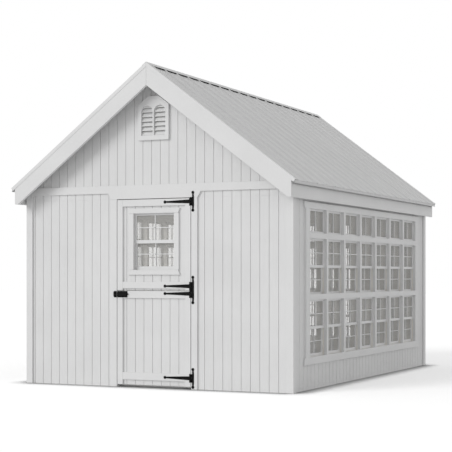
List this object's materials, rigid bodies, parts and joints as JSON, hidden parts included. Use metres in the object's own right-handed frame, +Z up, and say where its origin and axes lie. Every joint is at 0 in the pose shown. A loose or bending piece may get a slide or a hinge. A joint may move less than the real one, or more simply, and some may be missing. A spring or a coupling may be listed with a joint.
{
  "type": "greenhouse",
  "caption": "Small timber greenhouse with grooved walls, bands of double-hung windows, a ribbed metal gable roof and a two-leaf Dutch door.",
  "frame": {"origin": "middle of the footprint on the ground", "axes": "+Z up, -Y out through the Dutch door, +X to the right seen from the front"},
  "size_m": [3.2836, 4.6416, 3.3121],
  "materials": {
    "framing_timber": "satin",
    "grooved_siding": "satin",
    "painted_trim": "satin",
    "sash_frames": "satin",
    "window_glass": "gloss",
    "deck_board": "matte",
    "roof_metal": "satin",
    "black_iron": "satin"
  },
  "bodies": {
    "building": {"side_wall_plates": "framing_timber", "end_wall_plates": "framing_timber", "side_wall_studs": "framing_timber", "end_wall_studs": "framing_timber", "gable_studs": "framing_timber", "window_blocks": "framing_timber", "window_headers": "framing_timber", "right_siding": "grooved_siding", "left_siding": "grooved_siding", "front_siding": "grooved_siding", "rear_siding": "grooved_siding", "corner_trims": "painted_trim", "front_band_board": "painted_trim", "door_casings": "painted_trim", "window_head_and_sill_trims": "painted_trim", "window_jamb_trims": "painted_trim", "mullion_covers": "painted_trim", "cross_covers": "painted_trim", "right_sashes": "sash_frames", "left_sashes": "sash_frames", "rear_sashes": "sash_frames", "right_glass": "window_glass", "left_glass": "window_glass", "rear_glass": "window_glass", "rafters": "framing_timber", "ridge_board": "framing_timber", "roof_deck": "deck_board", "roof_sheets": "roof_metal", "ridge_cap": "roof_metal", "gable_edge_trims": "painted_trim", "rake_boards": "painted_trim", "rake_soffits": "painted_trim", "fascias": "painted_trim", "eave_soffits": "painted_trim", "gable_vent_frame": "painted_trim", "gable_vent_slats": "painted_trim", "door_side_jambs": "painted_trim", "door_head_jamb": "painted_trim", "door_stops": "painted_trim", "hinge_plates": "black_iron", "bolt_keeper": "black_iron"},
    "upper_door": {"upper_door_panel": "grooved_siding", "upper_door_battens": "painted_trim", "door_window_trims": "painted_trim", "door_sashes": "sash_frames", "door_glass": "window_glass", "upper_door_straps": "black_iron"},
    "lower_door": {"lower_door_panel": "grooved_siding", "lower_door_battens": "painted_trim", "lower_door_straps": "black_iron", "slide_bolt": "black_iron"}
  },
  "joints": [
    {"name": "upper_door_hinge", "type": "hinge", "parent": "building", "child": "upper_door", "pos_m": [0.4305, -2.172, 0.9935], "axis": [0, 0, 1], "range_deg": [0, 170]},
    {"name": "lower_door_hinge", "type": "hinge", "parent": "building", "child": "lower_door", "pos_m": [0.4305, -2.172, 0.9935], "axis": [0, 0, 1], "range_deg": [0, 170]}
  ]
}
